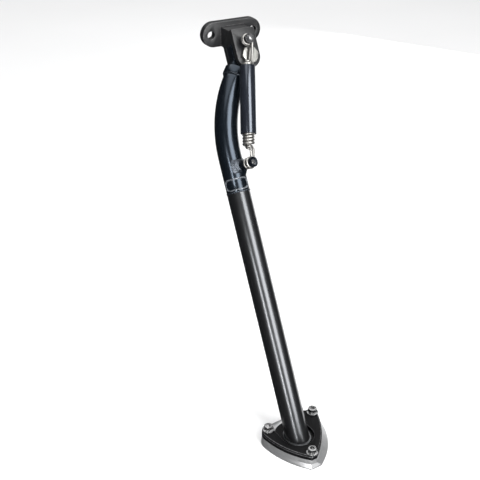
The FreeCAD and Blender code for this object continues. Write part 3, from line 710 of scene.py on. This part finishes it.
# oval pad round the joint
padShape = {"proud": 0.9, "rim": 0.7, "slope": 0.4, "recess": 0.75, "sunk": 0.4,
            "turnForward": 24, "cut": 1.0, "wrap": 130}
padLow, padHigh = placeOf("oval_pad")
tubeRadius = (placeOf("lower_tube")[1].x - placeOf("lower_tube")[0].x) / 2
padHeight = padHigh.z - padLow.z
padHalf = tubeRadius * math.radians(padShape["wrap"]) / 2 - padHeight / 2
padProud = padShape["proud"] * millimetre
pickNothing()
bpy.ops.mesh.primitive_cylinder_add(vertices=64, radius=padHeight / 2, depth=padProud
                                    + padShape["sunk"] * millimetre)
pad = bpy.context.object
pad.name = "ovalPad"
objectMode()
for side in (-1, 1):
    editAll(pad)
    bpy.ops.mesh.select_all(action="DESELECT")
    objectMode()
    for vertex in pad.data.vertices:
        vertex.select = vertex.co.x * side > 0.01 * millimetre
    bpy.ops.object.mode_set(mode="EDIT")
    bpy.ops.transform.translate(value=(side * padHalf, 0, 0))
    objectMode()
paint(pad, "gloss_black")
# the rim's top and its rounded edges get bright spots painted as the rim's highlight
pad.data.materials.append(rubbed["pad rim painted highlight"])
selectFaces(pad, lambda face: face.normal.z > 0.9)
bpy.ops.mesh.inset(thickness=padShape["rim"] * millimetre, depth=0)
bpy.ops.mesh.inset(thickness=padShape["slope"] * millimetre, depth=-padShape["recess"] * millimetre)
objectMode()
padTop = max(v.co.z for v in pad.data.vertices)
for face in pad.data.polygons:
    proudest = face.center.z > padTop - near["outline"] * millimetre
    face.material_index = int(face.normal.z > 0.9 and proudest)
roundEdges(pad, 0.25, 3, 30, edgeFinish=1)
reach = padHalf + padHeight / 2
cuts = int(2 * reach / (padShape["cut"] * millimetre))
for index in range(1, cuts):
    editAll(pad)
    bpy.ops.mesh.bisect(plane_co=(-reach + 2 * reach * index / cuts, 0, 0), plane_no=(1, 0, 0))
objectMode()
bpy.context.view_layer.update()
base = tubeRadius + padProud - max(v.co.z for v in pad.data.vertices)
turnPad = math.radians(padShape["turnForward"])
for vertex in pad.data.vertices:
    angle = vertex.co.x / tubeRadius + turnPad
    out = base + vertex.co.z
    vertex.co = Vector((tubeMiddle.x - math.sin(angle) * out, tubeMiddle.y - math.cos(angle) * out,
                        (padLow.z + padHigh.z) / 2 + vertex.co.y))
editAll(pad)
bpy.ops.mesh.normals_make_consistent(inside=False)
objectMode()
settle(pad, legFrame)
smoothBy(pad, smoothBelow["pad"])
standFor(pad, "oval_pad")
print("oval pad made")

# foot screws
screwShape = {"head": 9.0, "height": 5.0, "ridges": 40, "ridgeDepth": 0.955, "key": 5.0,
              "keyDepth": 2.75, "shank": 6.0, "length": 14.0, "point": 0.5}
screwCrown = ((0.12, 0.12), (0.3, 0.16), (0.35, 0.05))  # mm: inwards and up, three steps
screwTurns = (17, 41, 5)  # degrees


def makeScrew():
    s = {key: value * millimetre for key, value in screwShape.items()}
    pickNothing()
    bpy.ops.mesh.primitive_cylinder_add(vertices=2 * screwShape["ridges"], radius=s["head"] / 2,
                                        depth=s["height"], location=(0, 0, s["height"] / 2))
    screw = bpy.context.object
    screw.name = "screwMaster"
    bpy.ops.object.transform_apply(location=True, rotation=True, scale=True)
    # the grip: every second ridge line drawn in
    editAll(screw)
    bpy.ops.mesh.select_all(action="DESELECT")
    objectMode()
    step = math.pi / screwShape["ridges"]
    for vertex in screw.data.vertices:
        vertex.select = round(math.atan2(vertex.co.y, vertex.co.x) / step) % 2 == 0
    bpy.ops.object.mode_set(mode="EDIT")
    bpy.ops.transform.resize(value=(screwShape["ridgeDepth"], screwShape["ridgeDepth"], 1),
                             center_override=(0, 0, 0))
    objectMode()
    # a plain band and a rounded edge above the grip
    selectFaces(screw, lambda face: face.normal.z > 0.9)
    for inwards, up in screwCrown:
        bpy.ops.mesh.inset(thickness=inwards * millimetre, depth=up * millimetre)
    objectMode()
    # shank under the head
    selectFaces(screw, lambda face: face.normal.z < -0.9)
    bpy.ops.mesh.inset(thickness=(s["head"] - s["shank"]) / 2, depth=0)
    bpy.ops.mesh.extrude_region_move(
        TRANSFORM_OT_translate={"value": (0, 0, s["point"] - s["length"])})
    bpy.ops.mesh.inset(thickness=s["point"], depth=s["point"])
    objectMode()
    pickNothing()
    bpy.ops.mesh.primitive_cylinder_add(vertices=6, radius=s["key"] / math.sqrt(3),
                                        depth=s["keyDepth"] * 2,
                                        location=(0, 0, s["height"] + 0.4 * millimetre))
    key = bpy.context.object
    addModifier(screw, "BOOLEAN", object=key, operation="DIFFERENCE", solver="EXACT")
    bpy.data.objects.remove(key)
    high = max(v.co.z for v in screw.data.vertices)
    for vertex in screw.data.vertices:  # the head ends at its real height
        if vertex.co.z > 0:
            vertex.co.z *= s["height"] / high
    smoothBy(screw, smoothBelow["screw"])
    return screw


def loosePlaces(node):  # middle and top of each loose part of a node
    spare = copyOfNode(node, "spare")
    pick(spare)
    bpy.ops.object.mode_set(mode="EDIT")
    bpy.ops.mesh.select_all(action="SELECT")
    bpy.ops.mesh.separate(type="LOOSE")
    objectMode()
    found = []
    for part in list(bpy.context.selected_objects):
        xs, ys, zs = zip(*[v.co for v in part.data.vertices])
        found.append(Vector(((min(xs) + max(xs)) / 2, (min(ys) + max(ys)) / 2, max(zs))))
        bpy.data.objects.remove(part)
    return sorted(found, key=lambda p: (p.x, p.y))


screwMaster = makeScrew()
for number, top in enumerate(loosePlaces("foot_screws"), start=1):
    screw = bpy.data.objects.new("footScrew%d" % number, screwMaster.data.copy())
    bpy.context.scene.collection.objects.link(screw)
    turned = Matrix.Rotation(math.radians(screwTurns[number - 1]), 4, "Z")
    seat = top - Vector((0, 0, screwShape["height"] * millimetre))
    screw.data.transform(Matrix.Translation(seat) @ turned)
    paint(screw, "bright_steel")
    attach(screw, "leg")
    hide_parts("foot_screws")
bpy.data.objects.remove(screwMaster)
print("screws made")

# floor, light and camera
studio = {"floorSize": 14.0, "floorTones": ((0.80, 0.80, 0.80), (0.84, 0.84, 0.84)),
          "worldTone": (0.04, 0.042, 0.046),
          "azimuth": -28, "elevation": 28, "distance": 1.002, "lens": 71.25,
          "aimBack": -0.0527, "aimOut": -0.1253, "aimUp": -0.1860}

groundHeight = cadBox[0].z
pickNothing()
bpy.ops.mesh.primitive_plane_add(size=studio["floorSize"], location=(0, 0, groundHeight))
floor = bpy.context.object
floor.name = "floor"
f = Finish("pale floor")
floor.data.materials.append(f.surface(Base_Color=f.between(f.noise(3, 2), *studio["floorTones"]),
                                      Roughness=0.9, Specular_IOR_Level=0.1))
floor.visible_glossy = False  # the tubes show the soft lights, not the floor
floor.visible_shadow = False  # the strips reach below it, so that they show down to the foot

world = bpy.data.worlds.new("soft room")
bpy.context.scene.world = world
world.use_nodes = True
world.node_tree.nodes["Background"].inputs["Color"].default_value = (*studio["worldTone"], 1)
world.node_tree.nodes["Background"].inputs["Strength"].default_value = 1.0

azimuth, elevation = math.radians(studio["azimuth"]), math.radians(studio["elevation"])
toCamera = Vector((math.sin(azimuth) * math.cos(elevation),
                   -math.cos(azimuth) * math.cos(elevation), math.sin(elevation)))
aim = Vector((studio["aimBack"], studio["aimOut"], studio["aimUp"]))
cameraData = bpy.data.cameras.new("camera")
cameraData.lens = studio["lens"]
cameraData.sensor_width = 36
camera = bpy.data.objects.new("camera", cameraData)
bpy.context.scene.collection.objects.link(camera)
camera.location = aim + toCamera * studio["distance"]
camera.rotation_mode = "QUATERNION"
camera.rotation_quaternion = (-toCamera).to_track_quat("-Z", "Y")
bpy.context.scene.camera = camera

# each lamp hangs in the plane square to the straight tube: its turn from the view in degrees (left
# is minus), shift up the tube, width, length and distance in metres, and watts
lamps = {
    "leftStrip": (-19, -0.4, 0.13, 1.3, 1.3, 15),
    "broadFront": (33, -0.1, 0.75, 1.9, 1.4, 42),
    "backFill": (150, 0.0, 0.8, 1.7, 1.4, 9)}
leftOfView = (-legZ).cross(toCamera).normalized()
for lampName, (turn, shift, width, length, distance, watts) in lamps.items():
    turned = math.radians(turn)
    way = (toCamera * math.cos(turned) - leftOfView * math.sin(turned)).normalized()
    lampData = bpy.data.lights.new(lampName, "AREA")
    lampData.shape = "RECTANGLE"
    lampData.size, lampData.size_y = width, length
    lampData.energy = watts
    lamp = bpy.data.objects.new(lampName, lampData)
    bpy.context.scene.collection.objects.link(lamp)
    middle = middleOf("lower_tube", rowFrame)
    place = middle + way * distance + legZ * shift
    z = way
    x = legZ.cross(z).normalized()
    y = z.cross(x)
    lamp.matrix_world = Matrix.Translation(place) @ Matrix((x, y, z)).transposed().to_4x4()

overhead = {"size": 4.5, "watts": 150, "place": (0.3, 0.9, 2.6)}
overData = bpy.data.lights.new("overhead", "AREA")
overData.shape = "SQUARE"
overData.size, overData.energy = overhead["size"], overhead["watts"]
over = bpy.data.objects.new("overhead", overData)
bpy.context.scene.collection.objects.link(over)
over.location = overhead["place"]
print("floor, camera and", len(lamps) + 1, "lamps set")
bpy.context.scene.view_settings.view_transform = "Standard"
